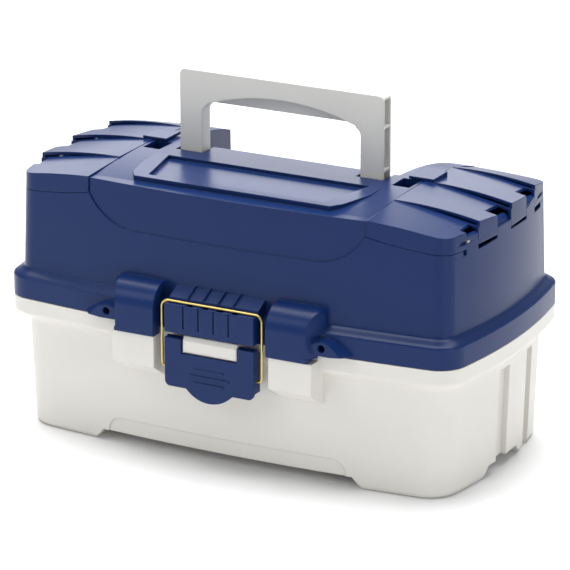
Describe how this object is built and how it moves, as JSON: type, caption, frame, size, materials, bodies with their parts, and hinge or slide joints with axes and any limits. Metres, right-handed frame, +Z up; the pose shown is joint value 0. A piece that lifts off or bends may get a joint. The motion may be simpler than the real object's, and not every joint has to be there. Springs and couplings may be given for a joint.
{
  "type": "fishing tackle box",
  "caption": "Two-tray cantilever tackle box with lift-up cover, two top access lids, folding handle and wire bail latch.",
  "frame": {"origin": "on the floor under the middle of the box", "axes": "+X along the length to the right, -Y the latch side (front), +Z up"},
  "size_m": [0.375, 0.2213, 0.262],
  "materials": {
    "white_plastic": "smooth moulded, slight sheen",
    "blue_plastic": "moulded, semi-gloss",
    "grey_plastic": "satin moulded",
    "steel": "plain",
    "brass_wire": "plated wire",
    "tray_plastic": "satin moulded",
    "divider_plastic": "satin moulded",
    "arm_plastic": "satin moulded"
  },
  "bodies": {
    "base": {"base_tub": "white_plastic", "base_arm_pins": "steel", "left_cover_hinge_pin": "steel", "right_cover_hinge_pin": "steel", "latch_lever_pin": "steel"},
    "cover": {"cover": "blue_plastic", "left_lid_hinge_pin": "steel", "right_lid_hinge_pin": "steel", "handle_pins": "steel"},
    "right_lid": {"right_access_lid": "blue_plastic"},
    "left_lid": {"left_access_lid": "blue_plastic"},
    "handle": {"handle": "grey_plastic"},
    "latch_lever": {"latch_lever": "blue_plastic"},
    "latch_bail": {"latch_bail": "brass_wire"},
    "lower_tray": {"lower_tray": "tray_plastic", "lower_tray_spacers": "tray_plastic", "lower_tray_pins": "steel", "lower_tray_dividers": "divider_plastic"},
    "upper_tray": {"upper_tray": "tray_plastic", "upper_tray_spacers": "tray_plastic", "upper_tray_pins": "steel", "upper_tray_dividers": "divider_plastic", "cover_link_pins": "steel"},
    "left_rear_arm": {"left_rear_arm": "arm_plastic"},
    "left_front_arm": {"left_front_arm": "arm_plastic"},
    "right_rear_arm": {"right_rear_arm": "arm_plastic"},
    "right_front_arm": {"right_front_arm": "arm_plastic"}
  },
  "joints": [
    {"name": "cover_hinge", "type": "hinge", "parent": "base", "child": "cover", "pos_m": [0, 0.1045, 0.1005], "axis": [-1, 0, 0], "range_deg": [0, 90]},
    {"name": "right_lid_hinge", "type": "hinge", "parent": "cover", "child": "right_lid", "pos_m": [0.1728, 0, 0.185], "axis": [0, 1, 0], "range_deg": [0, 95]},
    {"name": "left_lid_hinge", "type": "hinge", "parent": "cover", "child": "left_lid", "pos_m": [-0.1728, 0, 0.185], "axis": [0, -1, 0], "range_deg": [0, 95]},
    {"name": "handle_pivot", "type": "hinge", "parent": "cover", "child": "handle", "pos_m": [0, 0.001, 0.182], "axis": [-1, 0, 0], "range_deg": [0, 90]},
    {"name": "latch_lever_pivot", "type": "hinge", "parent": "base", "child": "latch_lever", "pos_m": [0, -0.107, 0.095], "axis": [-1, 0, 0], "range_deg": [0, 80]},
    {"name": "latch_bail_pivot", "type": "hinge", "parent": "latch_lever", "child": "latch_bail", "pos_m": [0, -0.1075, 0.075], "axis": [-1, 0, 0], "range_deg": [-105, 0]},
    {"name": "left_rear_arm_pivot", "type": "hinge", "parent": "base", "child": "left_rear_arm", "pos_m": [0, 0.076, 0.0885], "axis": [-1, 0, 0], "range_deg": [0, 90]},
    {"name": "left_front_arm_pivot", "type": "hinge", "parent": "base", "child": "left_front_arm", "pos_m": [0, 0.02, 0.0885], "axis": [-1, 0, 0], "range_deg": [0, 90]},
    {"name": "right_rear_arm_pivot", "type": "hinge", "parent": "base", "child": "right_rear_arm", "pos_m": [0, 0.076, 0.0885], "axis": [-1, 0, 0], "range_deg": [0, 90]},
    {"name": "right_front_arm_pivot", "type": "hinge", "parent": "base", "child": "right_front_arm", "pos_m": [0, 0.02, 0.0885], "axis": [-1, 0, 0], "range_deg": [0, 90]},
    {"name": "upper_tray_pivot", "type": "hinge", "parent": "cover", "child": "upper_tray", "pos_m": [0, 0.0075, 0.1205], "axis": [-1, 0, 0], "range_deg": [-90, 0]},
    {"name": "lower_tray_pivot", "type": "hinge", "parent": "left_rear_arm", "child": "lower_tray", "pos_m": [0, 0.0275, 0.0985], "axis": [-1, 0, 0], "range_deg": [-90, 0]}
  ],
  "couplings": [
    {"joint": "latch_bail_pivot", "follows": "latch_lever_pivot", "ratio": -1.3},
    {"joint": "left_rear_arm_pivot", "follows": "cover_hinge", "ratio": 1},
    {"joint": "left_front_arm_pivot", "follows": "cover_hinge", "ratio": 1},
    {"joint": "right_rear_arm_pivot", "follows": "cover_hinge", "ratio": 1},
    {"joint": "right_front_arm_pivot", "follows": "cover_hinge", "ratio": 1},
    {"joint": "upper_tray_pivot", "follows": "cover_hinge", "ratio": -1},
    {"joint": "lower_tray_pivot", "follows": "cover_hinge", "ratio": -1}
  ]
}
